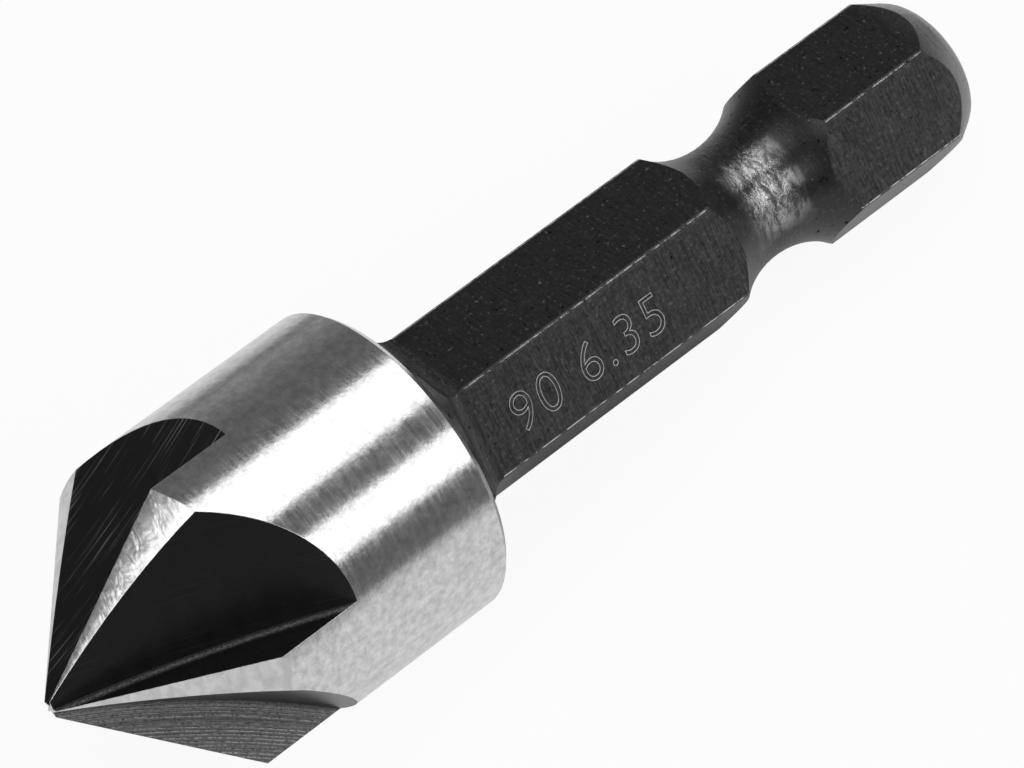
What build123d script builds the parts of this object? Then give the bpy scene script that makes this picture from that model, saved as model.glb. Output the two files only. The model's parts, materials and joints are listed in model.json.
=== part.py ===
"""Countersink bit: five-flute 90 degree head on a quarter-inch hex shank.

One solid, modelled on its own axis with the point at the origin and the shank
along +Z, then laid down as it comes to rest: on a hex flat and on the back rim
of the head, point towards -X, shank towards +X, +Z up. Millimetres.
"""

import os
from math import acos, atan2, cos, degrees, radians, sin, sqrt, tan

from build123d import *

# ---- driving sizes (mm and degrees) ----------------------------------------
head_dia = 12.4            # largest diameter the bit will sink
point_angle = 90.0         # included angle of the cutting cone
point_flat_dia = 0.7       # bluntness of the very point
head_len = 15.9            # point to the back face of the head
rim_break = 0.25           # edge break round the back rim

flute_count = 5
flute_exit = 9.2           # where a flute floor leaves the side of the head
flute_root_gap = 0.17      # how far off the axis a flute floor starts
wheel_radius = 42.0        # grinding wheel that cuts the flutes
wheel_tilt = 4.75          # lean of that wheel towards the heel of the land
flute_phase = -33.9        # first rake face, measured from a hex corner
land_relief = 6.5          # lean of the cone ground on each land behind its edge

hex_af = 6.35              # shank across its flats
hex_corner_dia = 7.24      # shank across its rounded corners
overall_len = 43.0         # point to the end of the shank
neck_dia = 8.2             # turned neck behind the head
neck_len = 1.45            # its parallel length
flat_start = 18.05         # where the milled flats become parallel
flat_runout = 1.15         # radius that carries a flat up into the neck

groove_from_end = 9.85     # middle of the bit-holder groove to the shank end
groove_radius = 4.2        # radius of the groove's section
groove_floor_dia = 4.86    # smallest diameter in the groove

end_lead = 1.9             # chamfer start at the corners, from the shank end
end_chamfer_angle = 29.0   # chamfer, measured from the axis
end_round = 1.15           # radius that turns the chamfer into the end face

rest_flat = 150.0          # the flat it lies on, measured from a hex corner
seam_angle = 328.7         # where the turned surfaces start and end, away from the table

# ---- sizes that follow ------------------------------------------------------
head_r = head_dia / 2
half_point = radians(point_angle / 2)
flat_r = point_flat_dia / 2
apex_drop = flat_r / tan(half_point)
cone_len = (head_r - flat_r) / tan(half_point)
corner_r = hex_corner_dia / 2
apothem = hex_af / 2
neck_r = neck_dia / 2
parting_z = 0.5 * (flute_exit + head_len)
groove_z = overall_len - groove_from_end
chamfer_z = overall_len - end_lead
reach = 2 * overall_len


def ring(radius, z):
    """A point of the turned outline, radius across and z along the axis."""
    return Vector(radius, 0, z)


def turned_blank():
    """Everything behind the cutting cone that a lathe makes, as one outline."""
    depth = corner_r - groove_floor_dia / 2
    half = sqrt(2 * groove_radius * depth - depth * depth)
    lean = radians(end_chamfer_angle)
    taper_z = overall_len - end_round * (1 - sin(lean))
    taper_r = corner_r - (taper_z - chamfer_z) * tan(lean)
    nose_r = taper_r - end_round * cos(lean)
    bow = (radians(90) + lean) / 2
    nose = ring(nose_r + end_round * cos(bow), overall_len - end_round * (1 - sin(bow)))
    outline = [
        Line(ring(0, parting_z), ring(head_r, parting_z)),
        Line(ring(head_r, parting_z), ring(head_r, head_len - rim_break)),
        Line(ring(head_r, head_len - rim_break), ring(head_r - rim_break, head_len)),
        Line(ring(head_r - rim_break, head_len), ring(neck_r, head_len)),
        Line(ring(neck_r, head_len), ring(neck_r, head_len + neck_len)),
        Line(ring(neck_r, head_len + neck_len), ring(corner_r, flat_start)),
        Line(ring(corner_r, flat_start), ring(corner_r, groove_z - half)),
        ThreePointArc(
            ring(corner_r, groove_z - half),
            ring(groove_floor_dia / 2, groove_z),
            ring(corner_r, groove_z + half),
        ),
        Line(ring(corner_r, groove_z + half), ring(corner_r, chamfer_z)),
        Line(ring(corner_r, chamfer_z), ring(taper_r, taper_z)),
        ThreePointArc(ring(taper_r, taper_z), nose, ring(nose_r, overall_len)),
        Line(ring(nose_r, overall_len), ring(0, overall_len)),
        Line(ring(0, overall_len), ring(0, parting_z)),
    ]
    return revolve(make_face(outline), Axis.Z)


def flat_cutter():
    """The slab a mill takes off to leave one flat with its run-out radius."""
    out = neck_dia + flat_runout
    outline = [
        Line(ring(apothem, reach), ring(apothem, flat_start)),
        ThreePointArc(
            ring(apothem, flat_start),
            ring(
                apothem + flat_runout * (1 - cos(radians(45))),
                flat_start - flat_runout * sin(radians(45)),
            ),
            ring(apothem + flat_runout, flat_start - flat_runout),
        ),
        Line(
            ring(apothem + flat_runout, flat_start - flat_runout),
            ring(out, flat_start - flat_runout),
        ),
        Line(ring(out, flat_start - flat_runout), ring(out, reach)),
        Line(ring(out, reach), ring(apothem, reach)),
    ]
    return extrude(make_face(outline), amount=2 * neck_dia, dir=(0, 1, 0), both=True)


def wedge(first, last, tall):
    """A sector of a big cylinder between two angles, on the axis."""
    far = 3 * head_r
    middle = (first + last) / 2
    corners = [(0, 0)]
    for angle in (first, middle, last):
        corners.append((far * cos(radians(angle)), far * sin(radians(angle))))
    face = make_face(Polyline(*corners, close=True))
    return extrude(face, amount=tall, dir=(0, 0, 1))


def relieved_cone():
    """The cutting cone built land by land, each falling away behind its edge."""
    lean = radians(land_relief)
    half = acos(cos(half_point) * cos(lean))
    tall = 4 * head_r
    pitch = 360 / flute_count
    core = Pos(0, 0, parting_z / 2) * Cylinder(head_r, parting_z)
    cone = Pos(0, 0, tall / 2) * Cone(0, tall * tan(half), tall)
    cone = Pos(0, 0, -apex_drop) * Rot(X=land_relief) * cone
    land = cone & core & wedge(-0.42 * pitch, 0.58 * pitch, parting_z)
    lands = [Rot(Z=flute_phase + n * pitch) * land for n in range(flute_count)]
    return lands[0].fuse(*lands[1:])


def flute_cutter():
    """Square-cornered grinding wheel: its side leaves the rake face, its rim
    leaves the heel face, and its corner leaves the floor line of the flute."""
    start = Vector(flute_root_gap, 0, 0)
    finish = Vector(head_r, 0, flute_exit)
    chord = finish - start
    drop = sqrt(wheel_radius**2 - (chord.length / 2) ** 2)
    across = Vector(chord.Z, 0, -chord.X).normalized()
    hub = (start + finish) * 0.5 + across * drop
    wide = 3 * head_r
    wheel = Rot(X=-90 - wheel_tilt) * Cylinder(wheel_radius, 2 * wide)
    wheel = Pos(hub.X, hub.Y, hub.Z) * wheel
    keep = Pos(0, -wide / 2, 0) * Box(6 * wheel_radius, wide, 6 * wheel_radius)
    return wheel & keep


# ---- the bit on its own axis --------------------------------------------------
cone = relieved_cone()
for n in range(flute_count):
    cone -= Rot(Z=flute_phase + n * 360 / flute_count) * flute_cutter()
shank = Rot(Z=seam_angle) * turned_blank()
for side in range(6):
    shank -= Rot(Z=30 + 60 * side) * flat_cutter()
bit = shank + cone

# ---- laid down as it rests --------------------------------------------------
flat_end = chamfer_z + (corner_r - apothem) / tan(radians(end_chamfer_angle))
slope = degrees(atan2(head_r - apothem, flat_end - (head_len - rim_break)))
bit = Rot(Y=90 + slope) * (Rot(Z=-rest_flat) * bit)
box = bit.bounding_box()
middle = box.center()
bit = Pos(-middle.X, -middle.Y, -box.min.Z) * bit

os.makedirs("parts", exist_ok=True)
export_step(bit, "parts/countersink_bit.step")
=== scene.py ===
"""A countersink bit lying on a pale table: bright ground head, black oxide shank."""

import json
import math

import bpy
from mathutils import Matrix, Quaternion, Vector


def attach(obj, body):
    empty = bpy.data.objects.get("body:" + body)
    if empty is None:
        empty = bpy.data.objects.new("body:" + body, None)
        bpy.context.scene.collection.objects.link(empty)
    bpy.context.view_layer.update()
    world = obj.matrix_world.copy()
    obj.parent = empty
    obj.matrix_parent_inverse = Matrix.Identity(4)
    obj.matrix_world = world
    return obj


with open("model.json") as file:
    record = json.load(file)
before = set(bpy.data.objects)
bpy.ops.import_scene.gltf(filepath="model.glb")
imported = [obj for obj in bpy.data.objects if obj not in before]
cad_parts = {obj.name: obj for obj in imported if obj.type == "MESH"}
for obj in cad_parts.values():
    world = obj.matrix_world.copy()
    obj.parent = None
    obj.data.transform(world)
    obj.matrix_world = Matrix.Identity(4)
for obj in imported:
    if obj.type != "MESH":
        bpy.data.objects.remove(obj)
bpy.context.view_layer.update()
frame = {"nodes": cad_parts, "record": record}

# ---- the blank ---------------------------------------------------------------------
# One bar of high-speed steel, turned on its own axis and then laid down. Every finish
# below is placed by how far along that axis and how far from it a point lies, so the
# axis comes first. It is taken from the part's own mounts.
MM = 0.001

bit = frame["nodes"]["countersink_bit"]
mounts = {m["name"]: m for m in frame["record"]["mounts"]}
tip = Vector(mounts["cutting_point"]["pos_m"])
along = -Vector(mounts["cutting_point"]["axis"]).normalized()
slope = math.atan2(-along.z, along.x)


def add(tree, kind, inputs=None, **settings):
    """A shader node with its settings, its plain inputs and its links."""
    node = tree.nodes.new(kind)
    for name, value in settings.items():
        setattr(node, name, value)
    for socket, value in (inputs or {}).items():
        if isinstance(value, bpy.types.NodeSocket):
            tree.links.new(value, node.inputs[socket])
        else:
            node.inputs[socket].default_value = value
    return node


def bit_place():
    """A node group: millimetres along the bit's axis from its point, out from it, and
    round it from the nearest hex corner."""
    group = bpy.data.node_groups.new("bit_place", "ShaderNodeTree")
    for name, kind in (
        ("Place", "NodeSocketVector"),
        ("Along", "NodeSocketFloat"),
        ("Radius", "NodeSocketFloat"),
        ("Corner", "NodeSocketFloat"),
    ):
        group.interface.new_socket(name, in_out="OUTPUT", socket_type=kind)
    here = add(group, "ShaderNodeTexCoord").outputs["Object"]
    turned = add(
        group,
        "ShaderNodeMapping",
        {"Vector": here, "Location": tip, "Rotation": (0, slope, 0), "Scale": (MM, MM, MM)},
        vector_type="TEXTURE",
    ).outputs[0]
    parts = add(group, "ShaderNodeSeparateXYZ", {0: turned}).outputs
    across = add(group, "ShaderNodeCombineXYZ", {"Y": parts["Y"], "Z": parts["Z"]}).outputs[0]
    radius = add(group, "ShaderNodeVectorMath", {0: across}, operation="LENGTH")
    turn = add(group, "ShaderNodeMath", {0: parts["Z"], 1: parts["Y"]}, operation="ARCTAN2")
    half_flat = math.radians(30)
    turn = add(
        group,
        "ShaderNodeMath",
        {0: turn.outputs[0], 1: -half_flat, 2: half_flat},
        operation="WRAP",
    )
    turn = add(group, "ShaderNodeMath", {0: turn.outputs[0]}, operation="ABSOLUTE")
    corner = add(
        group,
        "ShaderNodeMath",
        {0: turn.outputs[0], 1: radius.outputs["Value"]},
        operation="MULTIPLY",
    )
    add(
        group,
        "NodeGroupOutput",
        {
            "Place": turned,
            "Along": parts["X"],
            "Radius": radius.outputs["Value"],
            "Corner": corner.outputs[0],
        },
    )
    return group


place_group = bit_place()


# ---- the ground head ---------------------------------------------------------------
# The side and the back rim of the head are high-speed steel, ground bright between
# centres, so the bare metal mirrors the studio in long bands and carries faint rings.
edge_wear = 0.05 * MM    # how round a sharp edge looks
ring_spacing = 0.09      # mm between the grinding rings, drawn as coarse as shows
ring_relief = 0.0025     # mm
cloud_size = 0.36        # mm, the blotches a worn wheel leaves
cloud_relief = 0.0045    # mm


def colour(code, alpha=1.0):
    """An sRGB hex colour as the linear values a shader takes."""
    parts = [int(code[i : i + 2], 16) / 255 for i in (1, 3, 5)]
    linear = [c / 12.92 if c < 0.04045 else ((c + 0.055) / 1.055) ** 2.4 for c in parts]
    return (*linear, alpha)


def new_material(name):
    """An empty node material and its tree."""
    made = bpy.data.materials.new(name)
    made.use_nodes = True
    made.node_tree.nodes.clear()
    return made, made.node_tree


def worn_edges():
    """A node group: the normal softened at sharp edges, and where those edges are."""
    group = bpy.data.node_groups.new("worn_edges", "ShaderNodeTree")
    for name, kind in (("Normal", "NodeSocketVector"), ("Edge", "NodeSocketFloat")):
        group.interface.new_socket(name, in_out="OUTPUT", socket_type=kind)
    soft = add(group, "ShaderNodeBevel", {"Radius": edge_wear}, samples=6).outputs[0]
    hard = add(group, "ShaderNodeNewGeometry").outputs["Normal"]
    same = add(group, "ShaderNodeVectorMath", {0: soft, 1: hard}, operation="DOT_PRODUCT")
    edge = add(
        group,
        "ShaderNodeMapRange",
        {"Value": same.outputs["Value"], "From Min": 0.995, "From Max": 0.93},
    ).outputs["Result"]
    add(group, "NodeGroupOutput", {"Normal": soft, "Edge": edge})
    return group


edge_group = worn_edges()

ground_side, tree = new_material("ground_steel_side")
place = add(tree, "ShaderNodeGroup", node_tree=place_group).outputs
edges = add(tree, "ShaderNodeGroup", node_tree=edge_group).outputs
stretched = add(
    tree,
    "ShaderNodeVectorMath",
    {0: place["Place"], 1: (1 / ring_spacing, 0.5, 0.5)},
    operation="MULTIPLY",
).outputs[0]
rings = add(
    tree,
    "ShaderNodeTexNoise",
    {"Vector": stretched, "Scale": 1.0, "Detail": 3.0, "Roughness": 0.6},
).outputs["Fac"]
clouds = add(
    tree,
    "ShaderNodeTexNoise",
    {"Vector": place["Place"], "Scale": 1 / cloud_size, "Detail": 5.0, "Roughness": 0.68},
).outputs["Fac"]
tone = add(
    tree,
    "ShaderNodeMapRange",
    {"Value": clouds, "From Min": 0.35, "From Max": 0.65},
).outputs["Result"]
shade = add(
    tree,
    "ShaderNodeMix",
    {"Factor": tone, "A": colour("#bdbdbd"), "B": colour("#e0e0e0")},
    data_type="RGBA",
).outputs["Result"]
polish = add(
    tree,
    "ShaderNodeMapRange",
    {"Value": rings, "From Min": 0.3, "From Max": 0.7, "To Min": 0.22, "To Max": 0.12},
).outputs["Result"]
waves = add(
    tree,
    "ShaderNodeBump",
    {
        "Height": clouds,
        "Distance": cloud_relief * MM,
        "Strength": 1.0,
        "Normal": edges["Normal"],
    },
).outputs[0]
lines = add(
    tree,
    "ShaderNodeBump",
    {"Height": rings, "Distance": ring_relief * MM, "Strength": 1.0, "Normal": waves},
).outputs[0]
steel = add(
    tree,
    "ShaderNodeBsdfPrincipled",
    {"Base Color": shade, "Metallic": 1.0, "Roughness": polish, "Normal": lines},
)
add(tree, "ShaderNodeOutputMaterial", {"Surface": steel.outputs[0]})


# ---- the lands ---------------------------------------------------------------------
# The five lands of the cone are relief ground one by one, so their steel is bare
# too. The wheel leaves flame-shaped patches across each, and the cutting edge has
# small bright nicks.
flame_step = 0.34        # mm along the axis between the wheel's burnt flames
flame_length = 0.8       # mm round the cone
flame_relief = 0.026     # mm
nick_size = 0.3          # mm

land_steel, tree = new_material("relief_ground_steel")
place = add(tree, "ShaderNodeGroup", node_tree=place_group).outputs
edges = add(tree, "ShaderNodeGroup", node_tree=edge_group).outputs
stretched = add(
    tree,
    "ShaderNodeVectorMath",
    {0: place["Place"], 1: (1 / flame_step, 1 / flame_length, 1 / flame_length)},
    operation="MULTIPLY",
).outputs[0]
flames = add(
    tree,
    "ShaderNodeTexNoise",
    {"Vector": stretched, "Scale": 1.0, "Detail": 2.0, "Roughness": 0.55, "Distortion": 0.4},
).outputs["Fac"]
tone = add(
    tree,
    "ShaderNodeMapRange",
    {"Value": flames, "From Min": 0.38, "From Max": 0.6},
).outputs["Result"]
shade = add(
    tree,
    "ShaderNodeMix",
    {"Factor": tone, "A": colour("#c0c0c0"), "B": colour("#d4d4d4")},
    data_type="RGBA",
).outputs["Result"]
nicks = add(
    tree,
    "ShaderNodeTexNoise",
    {"Vector": place["Place"], "Scale": 1 / nick_size, "Detail": 2.0, "Roughness": 0.5},
).outputs["Fac"]
nicks = add(
    tree,
    "ShaderNodeMapRange",
    {"Value": nicks, "From Min": 0.5, "From Max": 0.58},
).outputs["Result"]
nicks = add(tree, "ShaderNodeMath", {0: nicks, 1: edges["Edge"]}, operation="MULTIPLY").outputs[0]
shade = add(
    tree,
    "ShaderNodeMix",
    {"Factor": nicks, "A": shade, "B": colour("#ffffff")},
    data_type="RGBA",
).outputs["Result"]
polish = add(
    tree,
    "ShaderNodeMapRange",
    {"Value": nicks, "To Min": 0.24, "To Max": 0.6},
).outputs["Result"]
grain = add(
    tree,
    "ShaderNodeBump",
    {
        "Height": flames,
        "Distance": flame_relief * MM,
        "Strength": 1.0,
        "Normal": edges["Normal"],
    },
).outputs[0]
steel = add(
    tree,
    "ShaderNodeBsdfPrincipled",
    {"Base Color": shade, "Metallic": 1.0, "Roughness": polish, "Normal": grain},
)
add(tree, "ShaderNodeOutputMaterial", {"Surface": steel.outputs[0]})


# ---- the flutes --------------------------------------------------------------------
# Each flute is one pass of a grinding wheel, and then the bit is blackened. The thin
# oxide keeps the wheel's marks: arcs round its hub on the rake face, and hair
# scratches along its rim on the heel face.
head_radius = 6.2 * MM
flute_count = 5
flute_phase = -33.9      # degrees from the first hex corner to the first rake face
resting_flat = 150.0     # degrees from that corner to the flat it lies on
flute_exit = 9.2 * MM
flute_root_gap = 0.17 * MM
wheel_radius = 42.0 * MM
wheel_tilt = math.radians(4.75)
mark_spacing = 0.13      # mm between the arcs on a rake face
mark_wander = 1.25       # mm over which the arcs stray
mark_stray = 4.0         # radians of their own spacing that they stray by
rake_fade = (0.02, 0.12)     # mm inside the wheel's rim, where the arcs set in
arc_relief = 0.035       # mm
hairs_across = 13.0      # scratches to a millimetre across a heel face
hairs_along = 0.13       # and along it, so each is about 8 mm long
grains_per_mm = 11.0     # in the oxide, drawn as coarse as shows
grain_relief = 0.006     # mm
corner_highlight = 0.24     # mm, the rounded corner the wheel's worn edge leaves, whose highlight is painted as a grey streak
arc_depths = (0.5, 0.02, 1.0, 0.8, 0.6)     # share of the full marks, flute by flute,
hair_depths = (1.0, 0.06, 0.5, 0.6, 0.8)    # as the wheel dulls and is dressed again

front_side = Vector((0, -1, 0))
upward = front_side.cross(along).normalized()


def direction(angle):
    """Straight out from the axis, at an angle in degrees from the first hex corner."""
    turn = math.radians(angle - resting_flat)
    return -upward * math.cos(turn) - front_side * math.sin(turn)


def wheel_of(angle):
    """The hub and the spindle of the wheel that cut the flute at this angle."""
    out = direction(angle)
    side = direction(angle + 90)
    start = out * flute_root_gap
    finish = out * head_radius + along * flute_exit
    chord = finish - start
    drop = math.sqrt(wheel_radius**2 - (chord.length / 2) ** 2)
    across = (out * flute_exit - along * (head_radius - flute_root_gap)).normalized()
    hub = tip + (start + finish) / 2 + across * drop
    spindle = side * math.cos(wheel_tilt) - along * math.sin(wheel_tilt)
    return hub, spindle.normalized()


wheels = [wheel_of(flute_phase + n * 360 / flute_count) for n in range(flute_count)]

flute_black, tree = new_material("black_oxide_flute")
place = add(tree, "ShaderNodeGroup", node_tree=place_group).outputs
edges = add(tree, "ShaderNodeGroup", node_tree=edge_group).outputs
here = add(tree, "ShaderNodeTexCoord").outputs["Object"]
hub = add(tree, "ShaderNodeAttribute", attribute_name="wheel_hub").outputs["Vector"]
spindle = add(tree, "ShaderNodeAttribute", attribute_name="wheel_spindle").outputs["Vector"]
arm = add(tree, "ShaderNodeVectorMath", {0: here, 1: hub}, operation="SUBTRACT").outputs[0]
arm = add(
    tree,
    "ShaderNodeVectorMath",
    {0: arm, 1: (1 / MM, 1 / MM, 1 / MM)},
    operation="MULTIPLY",
).outputs[0]
offset = add(
    tree,
    "ShaderNodeVectorMath",
    {0: arm, 1: spindle},
    operation="DOT_PRODUCT",
).outputs["Value"]
axial = add(tree, "ShaderNodeVectorMath", {0: spindle, "Scale": offset}, operation="SCALE")
radial = add(
    tree,
    "ShaderNodeVectorMath",
    {0: arm, 1: axial.outputs[0]},
    operation="SUBTRACT",
).outputs[0]
reach = add(tree, "ShaderNodeVectorMath", {0: radial}, operation="LENGTH").outputs["Value"]
on_rake = add(
    tree,
    "ShaderNodeMapRange",
    {
        "Value": reach,
        "From Min": wheel_radius / MM - rake_fade[0],
        "From Max": wheel_radius / MM - rake_fade[1],
    },
).outputs["Result"]
rake_track = add(tree, "ShaderNodeCombineXYZ", {"X": reach}).outputs[0]
wander = add(
    tree,
    "ShaderNodeTexNoise",
    {"Vector": place["Place"], "Scale": 1 / mark_wander, "Detail": 3.0},
).outputs["Fac"]
phase = add(
    tree,
    "ShaderNodeMath",
    {0: reach, 1: 2 * math.pi / mark_spacing},
    operation="MULTIPLY",
).outputs[0]
phase = add(
    tree,
    "ShaderNodeMath",
    {0: wander, 1: mark_stray, 2: phase},
    operation="MULTIPLY_ADD",
).outputs[0]
wave = add(tree, "ShaderNodeMath", {0: phase}, operation="SINE").outputs[0]
wave = add(
    tree,
    "ShaderNodeMapRange",
    {"Value": wave, "From Min": -0.6, "From Max": 0.8, "To Min": 0.03},
).outputs["Result"]
marks = add(
    tree,
    "ShaderNodeTexNoise",
    {"Vector": rake_track, "Scale": 1.1 / mark_spacing, "Detail": 3.0, "Roughness": 0.85},
).outputs["Fac"]
marks = add(
    tree,
    "ShaderNodeMapRange",
    {"Value": marks, "From Min": 0.41, "From Max": 0.6, "To Min": 0.08, "To Max": 1.0},
).outputs["Result"]
arcs = add(tree, "ShaderNodeMath", {0: wave, 1: marks}, operation="MULTIPLY").outputs[0]
arcs = add(tree, "ShaderNodeMath", {0: arcs, 1: on_rake}, operation="MULTIPLY").outputs[0]
heel_track = add(
    tree,
    "ShaderNodeCombineXYZ",
    {"X": offset, "Y": place["Along"]},
).outputs[0]
heel_track = add(
    tree,
    "ShaderNodeVectorMath",
    {0: heel_track, 1: (hairs_across, hairs_along, 1.0)},
    operation="MULTIPLY",
).outputs[0]
hairs = add(
    tree,
    "ShaderNodeTexNoise",
    {"Vector": heel_track, "Scale": 1.0, "Detail": 3.0, "Roughness": 0.75},
).outputs["Fac"]
scratch = add(
    tree,
    "ShaderNodeMapRange",
    {"Value": hairs, "From Min": 0.6, "From Max": 0.72},
).outputs["Result"]
hair_depth = add(tree, "ShaderNodeAttribute", attribute_name="hair_depth").outputs["Fac"]
scratch = add(tree, "ShaderNodeMath", {0: scratch, 1: hair_depth}, operation="MULTIPLY").outputs[0]
skin = add(
    tree,
    "ShaderNodeTexNoise",
    {"Vector": place["Place"], "Scale": grains_per_mm, "Detail": 3.0, "Roughness": 0.8},
).outputs["Fac"]
arc_depth = add(tree, "ShaderNodeAttribute", attribute_name="arc_depth").outputs["Fac"]
grit = add(
    tree,
    "ShaderNodeMapRange",
    {"Value": skin, "From Min": 0.4, "From Max": 0.58, "To Min": 0.1, "To Max": 1.6},
).outputs["Result"]
grit = add(tree, "ShaderNodeMath", {0: grit, 1: arc_depth}, operation="MULTIPLY").outputs[0]
ridges = add(tree, "ShaderNodeMath", {0: arcs, 1: arc_depth}, operation="MULTIPLY").outputs[0]
arcs = add(tree, "ShaderNodeMath", {0: arcs, 1: grit}, operation="MULTIPLY").outputs[0]
scratch = add(tree, "ShaderNodeMath", {0: scratch, 1: 0.5}, operation="MULTIPLY").outputs[0]
lift = add(tree, "ShaderNodeMath", {0: arcs, 1: scratch}, operation="MAXIMUM").outputs[0]
shade = add(
    tree,
    "ShaderNodeMix",
    {"Factor": skin, "A": colour("#020202"), "B": colour("#0c0c0c")},
    data_type="RGBA",
).outputs["Result"]
shade = add(
    tree,
    "ShaderNodeMix",
    {"Factor": lift, "A": shade, "B": colour("#dcdcdc")},
    data_type="RGBA",
).outputs["Result"]
# Painted highlight: a grey streak in the oxide's colour along the corner between rake and heel,
# standing in for the light that the wheel's rounded corner catches.
from_corner = add(
    tree,
    "ShaderNodeMath",
    {0: reach, 1: wheel_radius / MM - corner_highlight},
    operation="SUBTRACT",
).outputs[0]
from_corner = add(tree, "ShaderNodeMath", {0: from_corner}, operation="ABSOLUTE").outputs[0]
painted_highlight = add(
    tree,
    "ShaderNodeMapRange",
    {"Value": from_corner, "From Min": corner_highlight, "From Max": 0.0, "To Max": 0.95},
).outputs["Result"]
rough_skin = add(
    tree,
    "ShaderNodeMapRange",
    {"Value": skin, "From Min": 0.38, "From Max": 0.62, "To Min": 0.15, "To Max": 0.95},
).outputs["Result"]
painted_highlight = add(tree, "ShaderNodeMath", {0: painted_highlight, 1: rough_skin}, operation="MULTIPLY").outputs[0]
shade = add(
    tree,
    "ShaderNodeMix",
    {"Factor": painted_highlight, "A": shade, "B": colour("#8a8a8a")},
    data_type="RGBA",
).outputs["Result"]
grain = add(
    tree,
    "ShaderNodeBump",
    {
        "Height": skin,
        "Distance": grain_relief * MM,
        "Strength": 1.0,
        "Normal": edges["Normal"],
    },
).outputs[0]
grain = add(
    tree,
    "ShaderNodeBump",
    {"Height": ridges, "Distance": arc_relief * MM, "Strength": 1.0, "Normal": grain},
).outputs[0]
oxide = add(
    tree,
    "ShaderNodeBsdfPrincipled",
    {"Base Color": shade, "Roughness": 0.32, "IOR": 1.5, "Normal": grain},
)
oxide.name = "oxide"
add(tree, "ShaderNodeOutputMaterial", {"Surface": oxide.outputs[0]})

# The wheel's flat side leaves the rake smoother than its rim leaves the heel, and
# the same oxide is glossier there.
rake_black = flute_black.copy()
rake_black.name = "black_oxide_rake"
rake_black.node_tree.nodes["oxide"].inputs["IOR"].default_value = 1.8
rake_black.node_tree.nodes["oxide"].inputs["Roughness"].default_value = 0.26


# ---- the neck and the shank --------------------------------------------------------
# Turned and milled steel in the same black oxide, a thin skin: rubbed bare along the
# hex corners, torn and wrinkled in the groove where a holder's ball seats, and greyed
# on the rounded end.
flats_start = 18.05 * MM
end_start = 41.1 * MM
corner_radius = 3.62 * MM
rubbed_width = 0.04      # mm either side of a hex corner that is rubbed bright
corner_height = 0.05     # mm, how near the full radius that skin has to be
groove_middle = 33.15    # mm from the point
groove_half = 2.75       # mm either side of that
ball_side = 15.0         # degrees from the first hex corner to where a holder's ball rubs
ball_reach = (1.7, 2.4)  # mm from the axis on that side, where its rubbing sets in
end_fade = 1.2           # mm over which the end turns grey
groove_wrinkles = (7.5, 3.0, 3.0)    # to a millimetre, along the axis and across it
wrinkle_scale = 0.8      # share of those, for the wrinkles
tear_scale = 0.45        # and for the torn patches, which are larger
wrinkle_relief = 0.08    # mm
stroke_spacing = 0.06    # mm between the cutter's strokes across a flat
stroke_relief = 0.009    # mm
specks_per_mm = 7.0      # pale grains in the skin
pits_per_mm = 4.5        # spots where it has no shine
rub_length = 0.625       # mm, the patches in which a corner's skin holds or has gone

ball_way = direction(ball_side)
ball_way = (0, ball_way.y, ball_way.dot(upward))

shank_black, tree = new_material("black_oxide_shank")
place = add(tree, "ShaderNodeGroup", node_tree=place_group).outputs
edges = add(tree, "ShaderNodeGroup", node_tree=edge_group).outputs
stretched = add(
    tree,
    "ShaderNodeVectorMath",
    {0: place["Place"], 1: (1 / stroke_spacing, 1.0, 1.0)},
    operation="MULTIPLY",
).outputs[0]
strokes = add(
    tree,
    "ShaderNodeTexNoise",
    {"Vector": stretched, "Scale": 1.0, "Detail": 4.0, "Roughness": 0.7},
).outputs["Fac"]
specks = add(
    tree,
    "ShaderNodeTexNoise",
    {"Vector": place["Place"], "Scale": specks_per_mm, "Detail": 3.0, "Roughness": 0.65},
).outputs["Fac"]
# Partly painted highlight: the strokes' pale tone is scaled face by face and is strongest on the
# marked flat, standing in for the front soft box's light on it.
strokes_and_sheen = add(tree, "ShaderNodeAttribute", attribute_name="strokes_and_sheen").outputs["Fac"]
tone = add(
    tree,
    "ShaderNodeMapRange",
    {"Value": strokes, "From Min": 0.36, "From Max": 0.64, "To Min": 0.1},
).outputs["Result"]
tone = add(tree, "ShaderNodeMath", {0: tone, 1: strokes_and_sheen}, operation="MULTIPLY").outputs[0]
dust = add(
    tree,
    "ShaderNodeMapRange",
    {"Value": specks, "From Min": 0.35, "From Max": 0.62, "To Min": 0.35, "To Max": 1.6},
).outputs["Result"]
tone = add(tree, "ShaderNodeMath", {0: tone, 1: dust}, operation="MULTIPLY").outputs[0]
shade = add(
    tree,
    "ShaderNodeMix",
    {"Factor": tone, "A": colour("#010101"), "B": colour("#404040")},
    data_type="RGBA",
).outputs["Result"]
pits = add(
    tree,
    "ShaderNodeTexNoise",
    {"Vector": place["Place"], "Scale": pits_per_mm, "Detail": 4.0, "Roughness": 0.7},
).outputs["Fac"]
pits = add(
    tree,
    "ShaderNodeMapRange",
    {"Value": pits, "From Min": 0.38, "From Max": 0.33, "To Min": 0.5, "To Max": 0.0},
).outputs["Result"]
flecks = add(
    tree,
    "ShaderNodeMapRange",
    {"Value": specks, "From Min": 0.64, "From Max": 0.72, "To Max": 0.6},
).outputs["Result"]
shade = add(
    tree,
    "ShaderNodeMix",
    {"Factor": flecks, "A": shade, "B": colour("#7a7a7a")},
    data_type="RGBA",
).outputs["Result"]
rubbed = add(
    tree,
    "ShaderNodeMapRange",
    {
        "Value": place["Corner"],
        "From Min": rubbed_width,
        "From Max": 0.5 * rubbed_width,
    },
).outputs["Result"]
proud = add(
    tree,
    "ShaderNodeMath",
    {0: place["Radius"], 1: corner_radius / MM - corner_height},
    operation="GREATER_THAN",
).outputs[0]
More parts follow.
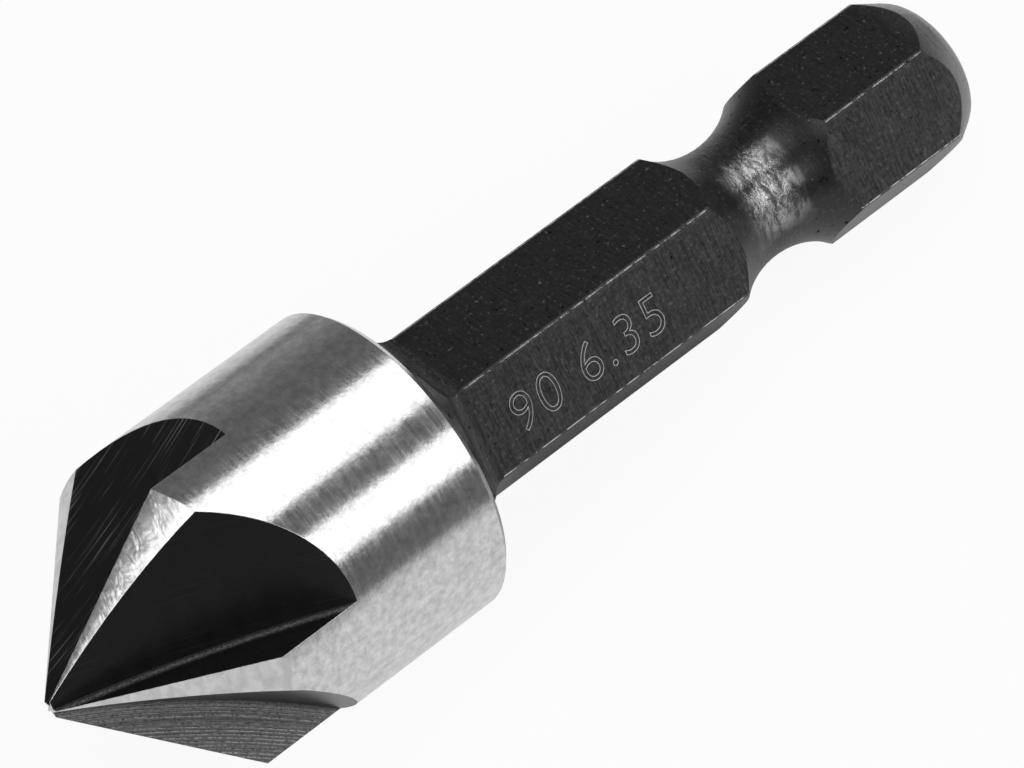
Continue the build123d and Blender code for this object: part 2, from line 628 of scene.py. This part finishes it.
rubbed = add(tree, "ShaderNodeMath", {0: rubbed, 1: proud}, operation="MULTIPLY").outputs[0]
on_hex = add(
    tree,
    "ShaderNodeMath",
    {0: place["Along"], 1: flats_start / MM},
    operation="GREATER_THAN",
).outputs[0]
patchy = add(
    tree,
    "ShaderNodeTexNoise",
    {"Vector": place["Place"], "Scale": 1 / rub_length, "Detail": 4.0, "Roughness": 0.7},
).outputs["Fac"]
patchy = add(
    tree,
    "ShaderNodeMapRange",
    {"Value": patchy, "From Min": 0.44, "From Max": 0.56, "To Max": 0.85},
).outputs["Result"]
bare = add(tree, "ShaderNodeMath", {0: rubbed, 1: on_hex}, operation="MULTIPLY").outputs[0]
bare = add(tree, "ShaderNodeMath", {0: bare, 1: patchy}, operation="MULTIPLY").outputs[0]
from_groove = add(
    tree,
    "ShaderNodeMath",
    {0: place["Along"], 1: groove_middle},
    operation="SUBTRACT",
).outputs[0]
from_groove = add(tree, "ShaderNodeMath", {0: from_groove}, operation="ABSOLUTE").outputs[0]
in_groove = add(
    tree,
    "ShaderNodeMapRange",
    {"Value": from_groove, "From Min": 0.55 * groove_half, "From Max": 0.05 * groove_half},
).outputs["Result"]
wrinkled = add(
    tree,
    "ShaderNodeVectorMath",
    {0: place["Place"], 1: groove_wrinkles},
    operation="MULTIPLY",
).outputs[0]
wrinkles = add(
    tree,
    "ShaderNodeTexNoise",
    {
        "Vector": wrinkled,
        "Scale": wrinkle_scale,
        "Detail": 4.0,
        "Roughness": 0.62,
        "Distortion": 0.8,
    },
).outputs["Fac"]
wrinkles = add(
    tree,
    "ShaderNodeMath",
    {0: wrinkles, 1: in_groove},
    operation="MULTIPLY",
).outputs[0]
grain = add(
    tree,
    "ShaderNodeBump",
    {
        "Height": strokes,
        "Distance": stroke_relief * MM,
        "Strength": 1.0,
        "Normal": edges["Normal"],
    },
).outputs[0]
grain = add(
    tree,
    "ShaderNodeBump",
    {"Height": wrinkles, "Distance": wrinkle_relief * MM, "Strength": 1.0, "Normal": grain},
).outputs[0]
worn_end = add(
    tree,
    "ShaderNodeMapRange",
    {
        "Value": place["Along"],
        "From Min": end_start / MM,
        "From Max": end_start / MM + end_fade,
        "To Max": 0.22,
    },
).outputs["Result"]
torn = add(
    tree,
    "ShaderNodeTexNoise",
    {
        "Vector": wrinkled,
        "Scale": tear_scale,
        "Detail": 5.0,
        "Roughness": 0.7,
        "Distortion": 0.5,
    },
).outputs["Fac"]
torn = add(
    tree,
    "ShaderNodeMapRange",
    {"Value": torn, "From Min": 0.4, "From Max": 0.58, "To Min": 0.1, "To Max": 0.75},
).outputs["Result"]
toward_ball = add(
    tree,
    "ShaderNodeVectorMath",
    {0: place["Place"], 1: ball_way},
    operation="DOT_PRODUCT",
).outputs["Value"]
by_ball = add(
    tree,
    "ShaderNodeMapRange",
    {"Value": toward_ball, "From Min": ball_reach[0], "From Max": ball_reach[1]},
).outputs["Result"]
torn = add(tree, "ShaderNodeMath", {0: torn, 1: by_ball}, operation="MULTIPLY").outputs[0]
thin_skin = add(tree, "ShaderNodeMath", {0: in_groove, 1: torn}, operation="MULTIPLY").outputs[0]
thin_skin = add(tree, "ShaderNodeMath", {0: thin_skin, 1: worn_end}, operation="MAXIMUM")
bare = add(
    tree,
    "ShaderNodeMath",
    {0: bare, 1: thin_skin.outputs[0]},
    operation="MAXIMUM",
).outputs[0]
oxide = add(
    tree,
    "ShaderNodeBsdfPrincipled",
    {
        "Base Color": shade,
        "Roughness": 0.34,
        "IOR": 1.5,
        "Specular IOR Level": pits,
        "Normal": grain,
    },
)
steel = add(
    tree,
    "ShaderNodeBsdfPrincipled",
    {"Base Color": colour("#e0e0e0"), "Metallic": 1.0, "Roughness": 0.12, "Normal": grain},
)
surface = add(
    tree,
    "ShaderNodeMixShader",
    {0: bare, 1: oxide.outputs[0], 2: steel.outputs[0]},
)
add(tree, "ShaderNodeOutputMaterial", {"Surface": surface.outputs[0]})


# ---- the finishes, face by face ----------------------------------------------------
# The bit is one solid, so each of its faces takes the finish that the last operation
# on it left, told by where it lies and how it faces. A flute's faces also note their
# wheel, and the milled flats how pale the cutter's strokes are drawn: palest on the
# marked flat, partly a painted highlight of the front soft box there.
cone_end = 5.85 * MM
head_back = 15.9 * MM
rim_break = 0.25 * MM
marked_flat = 30.0       # degrees from the first hex corner to the flat with the size mark, its strokes drawn palest, partly a painted highlight
neck_strokes = 0.6       # how strongly the strokes show on the neck,
plain_strokes = 0.25     # and on the other flats


def flute_wheel(face):
    """The wheel whose rake or heel face this is, told by which surface it fits."""
    def misfit(wheel):
        hub, spindle = wheel
        arm = face.center - hub
        radial = arm - spindle * arm.dot(spindle)
        on_rim = abs(radial.length - wheel_radius)
        on_side = abs((face.center - tip).dot(spindle)) + MM * (1 - abs(face.normal.dot(spindle)))
        return min(on_rim, on_side)

    return min(wheels, key=misfit)


def finish_of(face):
    """Which finish a face of the bit has, from where it lies and how it faces."""
    middle = face.center - tip
    reach = middle.dot(along)
    outward = middle - along * reach
    facing = face.normal.dot(outward.normalized())
    forward = -face.normal.dot(along)
    if reach > head_back - 0.1 * rim_break:
        return shank_black
    if outward.length > 0.99 * head_radius and facing > 0.95:
        return ground_side
    if reach > head_back - rim_break and facing > 0.5:
        return ground_side
    if forward > 0.55 and reach < 1.2 * cone_end and outward.length > reach - 0.1 * MM:
        return land_steel
    side = flute_wheel(face)[1]
    return rake_black if abs(face.normal.dot(side)) > math.cos(2 * wheel_tilt) else flute_black


finishes = [ground_side, land_steel, flute_black, rake_black, shank_black]
bit.data.materials.clear()
for finish in finishes:
    bit.data.materials.append(finish)
for face in bit.data.polygons:
    face.material_index = finishes.index(finish_of(face))
cuts = [wheels.index(flute_wheel(face)) for face in bit.data.polygons]
strokes_on = []
for face in bit.data.polygons:
    turned = (face.center - tip).dot(along) < flats_start
    marked = face.normal.dot(direction(marked_flat)) > 0.999
    strokes_on.append(neck_strokes if turned else 1.0 if marked else plain_strokes)
for name, part in (("wheel_hub", 0), ("wheel_spindle", 1)):
    noted = [c for cut in cuts for c in wheels[cut][part]]
    bit.data.attributes.new(name, "FLOAT_VECTOR", "FACE").data.foreach_set("vector", noted)
for name, noted in (
    ("arc_depth", [arc_depths[cut] for cut in cuts]),
    ("hair_depth", [hair_depths[cut] for cut in cuts]),
    ("strokes_and_sheen", strokes_on),
):
    bit.data.attributes.new(name, "FLOAT", "FACE").data.foreach_set("value", noted)


# ---- the size mark -----------------------------------------------------------------
# A plain number is burnt into one flat with a fine beam, which leaves the outline
# of each figure as a thin pale ridge in the black skin.
mark_text = "90 6.35"
figure_height = 1.6 * MM
cap_share = 0.72         # of the typeface's body that a figure's height takes
mark_start = 19.3 * MM
mark_base = -0.95 * MM
apothem = 3.175 * MM
ridge = 0.016 * MM       # radius of the ridge
beam_inset = 0.028 * MM  # how far inside a figure's outline it runs
grit_per_mm = 12.0       # in the ridge's pale steel

mark_out = direction(marked_flat)
mark_up = mark_out.cross(along).normalized()
figures = bpy.data.curves.new("size_mark", "FONT")
figures.body = mark_text
figures.size = figure_height / cap_share
figures.space_character = 1.12
figures.fill_mode = "NONE"
figures.offset = -beam_inset
figures.bevel_depth = ridge
figures.bevel_resolution = 1
figures.resolution_u = 6
size_mark = bpy.data.objects.new("size_mark", figures)
bpy.context.scene.collection.objects.link(size_mark)
size_mark.rotation_mode = "QUATERNION"
size_mark.rotation_quaternion = Matrix((along, mark_up, mark_out)).transposed().to_quaternion()
size_mark.location = tip + along * mark_start + mark_out * apothem + mark_up * mark_base

burnt_edge, tree = new_material("burnt_steel_edge")
place = add(tree, "ShaderNodeGroup", node_tree=place_group).outputs
grit = add(
    tree,
    "ShaderNodeTexNoise",
    {"Vector": place["Place"], "Scale": grit_per_mm, "Detail": 3.0},
).outputs["Fac"]
shade = add(
    tree,
    "ShaderNodeMix",
    {"Factor": grit, "A": colour("#8a8a8a"), "B": colour("#f0f0f0")},
    data_type="RGBA",
).outputs["Result"]
burnt = add(
    tree,
    "ShaderNodeBsdfPrincipled",
    {"Base Color": shade, "Metallic": 0.6, "Roughness": 0.5},
)
add(tree, "ShaderNodeOutputMaterial", {"Surface": burnt.outputs[0]})
figures.materials.append(burnt_edge)
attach(size_mark, "root")


# ---- the table ---------------------------------------------------------------------
# Plain white card. In the metal's mirror images it has edges: it darkens some way in
# front of the bit and behind it, and close under the shank it is in real shade.
front_fade = (-47 * MM, -29 * MM)    # along Y, where its mirror image darkens in front
back_fade = (18 * MM, 90 * MM)       # and behind
under_bit = (6 * MM, 14 * MM)        # to either side, how far the real shade reaches
shade_start = (0.0, -5 * MM)         # and along X, from under the neck
shade_end = (8 * MM, 14 * MM)        # to under the groove
card_level = 0.95
front_level = 0.18
back_level = 0.3
mirror_share = 0.55      # how much of the card a mirror image shows without shade
camera_share = 0.93      # the same for the camera, which leaves a faint shadow

bpy.ops.mesh.primitive_plane_add(size=4.0)
table = bpy.context.object
table.name = "table"

card, tree = new_material("white_card")
here = add(tree, "ShaderNodeTexCoord").outputs["Object"]
sides = add(tree, "ShaderNodeSeparateXYZ", {0: here}).outputs
front = add(
    tree,
    "ShaderNodeMapRange",
    {
        "Value": sides["Y"],
        "From Min": front_fade[0],
        "From Max": front_fade[1],
        "To Min": front_level,
        "To Max": card_level,
    },
).outputs["Result"]
back = add(
    tree,
    "ShaderNodeMapRange",
    {
        "Value": sides["Y"],
        "From Min": back_fade[0],
        "From Max": back_fade[1],
        "To Min": card_level,
        "To Max": back_level,
    },
).outputs["Result"]
mirrored = add(tree, "ShaderNodeMath", {0: front, 1: back}, operation="MINIMUM").outputs[0]
ray = add(tree, "ShaderNodeLightPath").outputs
level = add(
    tree,
    "ShaderNodeMix",
    {"Factor": ray["Is Camera Ray"], "A": mirrored, "B": 1.0},
    data_type="FLOAT",
).outputs["Result"]
glow = add(tree, "ShaderNodeEmission", {"Color": (1, 1, 1, 1), "Strength": level}).outputs[0]
mirrored_card = add(tree, "ShaderNodeCombineColor", {0: mirrored, 1: mirrored, 2: mirrored})
shade = add(
    tree,
    "ShaderNodeMix",
    {"Factor": ray["Is Glossy Ray"], "A": colour("#f2f2f2"), "B": mirrored_card.outputs[0]},
    data_type="RGBA",
).outputs["Result"]
matt = add(tree, "ShaderNodeBsdfDiffuse", {"Color": shade}).outputs[0]
beside = add(tree, "ShaderNodeMath", {0: sides["Y"]}, operation="ABSOLUTE").outputs[0]
beside = add(
    tree,
    "ShaderNodeMapRange",
    {"Value": beside, "From Min": under_bit[0], "From Max": under_bit[1]},
).outputs["Result"]
ahead = add(
    tree,
    "ShaderNodeMapRange",
    {"Value": sides["X"], "From Min": shade_start[0], "From Max": shade_start[1]},
).outputs["Result"]
beyond = add(
    tree,
    "ShaderNodeMapRange",
    {"Value": sides["X"], "From Min": shade_end[0], "From Max": shade_end[1]},
).outputs["Result"]
lit = add(tree, "ShaderNodeMath", {0: beside, 1: ahead}, operation="MAXIMUM").outputs[0]
lit = add(tree, "ShaderNodeMath", {0: lit, 1: beyond}, operation="MAXIMUM").outputs[0]
lit = add(tree, "ShaderNodeMath", {0: lit, 1: mirror_share}, operation="MULTIPLY").outputs[0]
share = add(tree, "ShaderNodeMath", {0: ray["Is Glossy Ray"], 1: lit}, operation="MULTIPLY")
share = add(
    tree,
    "ShaderNodeMath",
    {0: ray["Is Camera Ray"], 1: camera_share, 2: share.outputs[0]},
    operation="MULTIPLY_ADD",
).outputs[0]
surface = add(tree, "ShaderNodeMixShader", {0: share, 1: matt, 2: glow}).outputs[0]
add(tree, "ShaderNodeOutputMaterial", {"Surface": surface})
table.data.materials.append(card)


# ---- the studio --------------------------------------------------------------------
# Two long soft boxes lie parallel to the bit, one low in front and one overhead,
# with dark gaps between them: that draws the bands on the ground head. A short one
# off the point lights the land that faces it.
room_level = 0.15
wall_glow = 0.2          # what the wall behind adds to that, near the horizon
box_gap = 0.34           # from the bit to each soft box
box_length = 0.55
box_level = 1.8          # well over white, so its mirror image stays white in grey steel
box_middle = 0.4         # how far along the bit the long boxes are centred
short_box_length = 0.17
short_box_level = 0.85
short_box_way = Vector((-0.79, -0.08, 0.60))

world = bpy.data.worlds.new("studio")
bpy.context.scene.world = world
world.use_nodes = True
tree = world.node_tree
tree.nodes.clear()
ray = add(tree, "ShaderNodeLightPath").outputs
ways = add(tree, "ShaderNodeTexCoord").outputs["Generated"]
ways = add(tree, "ShaderNodeSeparateXYZ", {0: ways}).outputs
low = add(
    tree,
    "ShaderNodeMapRange",
    {"Value": ways["Z"], "From Min": 0.0, "From Max": 0.5, "To Min": wall_glow, "To Max": 0.0},
).outputs["Result"]
behind = add(
    tree,
    "ShaderNodeMapRange",
    {"Value": ways["Y"], "From Min": 0.2, "From Max": 0.6},
).outputs["Result"]
wall = add(
    tree,
    "ShaderNodeMath",
    {0: low, 1: behind, 2: room_level},
    operation="MULTIPLY_ADD",
)
level = add(
    tree,
    "ShaderNodeMix",
    {"Factor": ray["Is Camera Ray"], "A": wall.outputs[0], "B": 1.0},
    data_type="FLOAT",
).outputs["Result"]
air = add(tree, "ShaderNodeBackground", {"Color": (1, 1, 1, 1), "Strength": level})
add(tree, "ShaderNodeOutputWorld", {"Surface": air.outputs[0]})

camera_place = Vector((-85.3, -129.9, 192.9)) * MM
camera_aim = Vector((-0.27, -0.56, 5.49)) * MM

to_camera = (camera_place - camera_aim).normalized()
lean = -to_camera.dot(along)


def soft_box(name, low, high, radiance):
    """A strip light parallel to the bit, between two angles round its axis."""
    middle = math.radians((low + high) / 2)
    out = front_side * math.cos(middle) + upward * math.sin(middle)
    away = out * box_gap
    away += along * (box_gap * lean / math.sqrt(1 - lean * lean))
    width = 2 * box_gap * math.tan(math.radians((high - low) / 2))
    lamp = bpy.data.lights.new(name, "AREA")
    lamp.shape = "RECTANGLE"
    lamp.size = box_length
    lamp.size_y = width
    lamp.energy = radiance * math.pi * box_length * width
    holder = bpy.data.objects.new(name, lamp)
    bpy.context.scene.collection.objects.link(holder)
    holder.location = tip.lerp(Vector((-tip.x, 0, tip.z)), box_middle) + away
    facing = Matrix((along, out.cross(along), out)).transposed()
    holder.rotation_mode = "QUATERNION"
    holder.rotation_quaternion = facing.to_quaternion()
    return holder


soft_box("front_soft_box", 20.5, 46, box_level)
soft_box("overhead_soft_box", 69, 107, box_level)

side_box = soft_box("side_soft_box", 0, 24, short_box_level)
side_box.data.size = short_box_length
side_box.location = tip + short_box_way * box_gap
side_box.rotation_quaternion = (side_box.location - tip).to_track_quat("Z", "Y")


# ---- the camera --------------------------------------------------------------------
# A long lens well back, above the point and to its front, rolled a little so that
# the bit lies across the frame.
camera_roll = math.radians(-13.82)
camera_lens = 240.0      # mm on a 36 mm sensor

view = bpy.data.cameras.new("camera")
view.lens = camera_lens
view.sensor_width = 36.0
view.clip_start = 0.01
camera = bpy.data.objects.new("camera", view)
bpy.context.scene.collection.objects.link(camera)
camera.location = camera_place
camera.rotation_mode = "QUATERNION"
camera.rotation_quaternion = to_camera.to_track_quat("Z", "Y") @ Quaternion((0, 0, 1), camera_roll)
bpy.context.scene.camera = camera
bpy.context.scene.view_settings.view_transform = "Standard"
